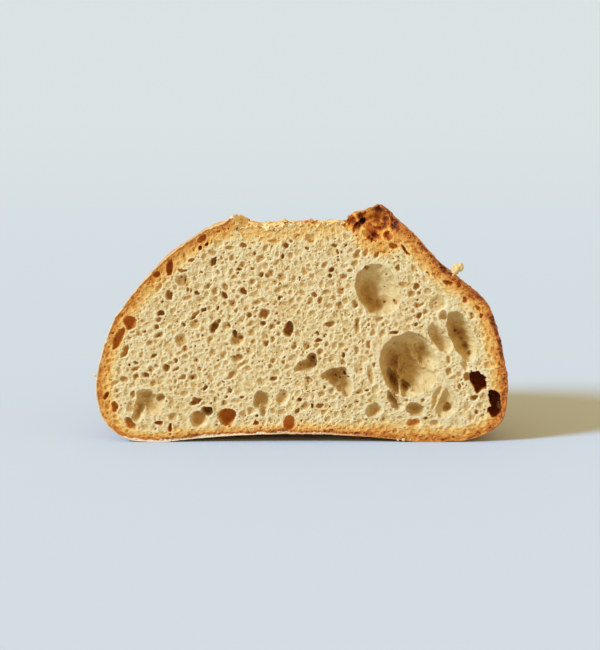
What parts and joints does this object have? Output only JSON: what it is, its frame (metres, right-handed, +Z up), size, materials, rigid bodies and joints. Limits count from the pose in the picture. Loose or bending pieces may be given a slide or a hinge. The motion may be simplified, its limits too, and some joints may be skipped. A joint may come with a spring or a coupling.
{
  "type": "half sourdough loaf",
  "caption": "Half of a round sourdough loaf, cut through its middle: domed crust with an opened score and raised ear, flat foot, open crumb with large holes in the cut face.",
  "frame": {"origin": "under the middle of the half loaf's box, on the surface that it stands on", "axes": "+Z up from the foot, +X to the right along the cut face as seen from the front, +Y from the cut face to the rounded back of the crust"},
  "size_m": [0.1896, 0.096, 0.1078],
  "materials": {
    "crust": "matte golden brown baked crust with a light dusting of flour"
  },
  "bodies": {
    "root": {"half_loaf": "crust"}
  },
  "joints": []
}
